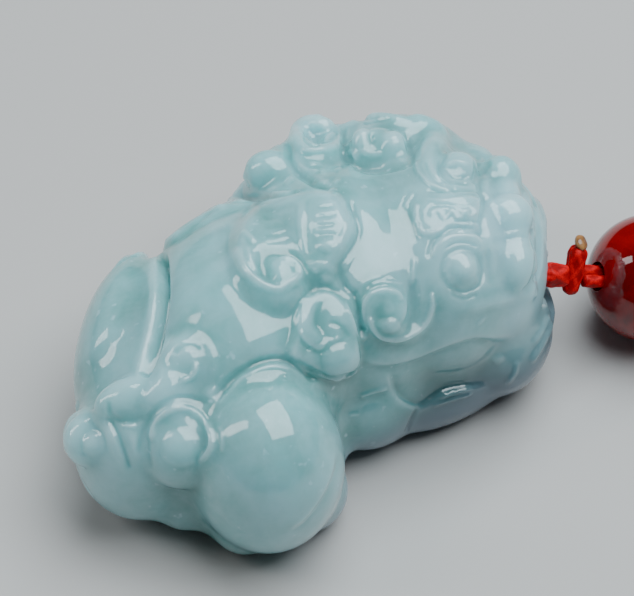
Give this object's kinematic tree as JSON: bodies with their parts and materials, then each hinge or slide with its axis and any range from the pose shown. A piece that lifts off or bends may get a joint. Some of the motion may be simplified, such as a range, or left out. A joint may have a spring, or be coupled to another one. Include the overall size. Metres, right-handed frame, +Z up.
{
  "type": "carved stone beast pendant on a cord with a bead",
  "caption": "Lying guardian beast carved in pale green stone, drilled at the face for a red cord that carries a round red bead and a short hanging loop.",
  "frame": {"origin": "under the middle of the carving, on the surface that it lies on", "axes": "+X along the body from rump to head, +Y to the far flank, +Z up"},
  "size_m": [0.0748, 0.0352, 0.0181],
  "materials": {
    "green_stone": "polished translucent stone",
    "red_cord": "braided cord",
    "red_stone": "polished stone"
  },
  "bodies": {
    "root": {"jade_beast": "green_stone", "cord_wrap": "red_cord", "cord_knot": "red_cord", "bead": "red_stone", "bead_thread": "red_cord", "hanging_loop": "red_cord"}
  },
  "joints": []
}
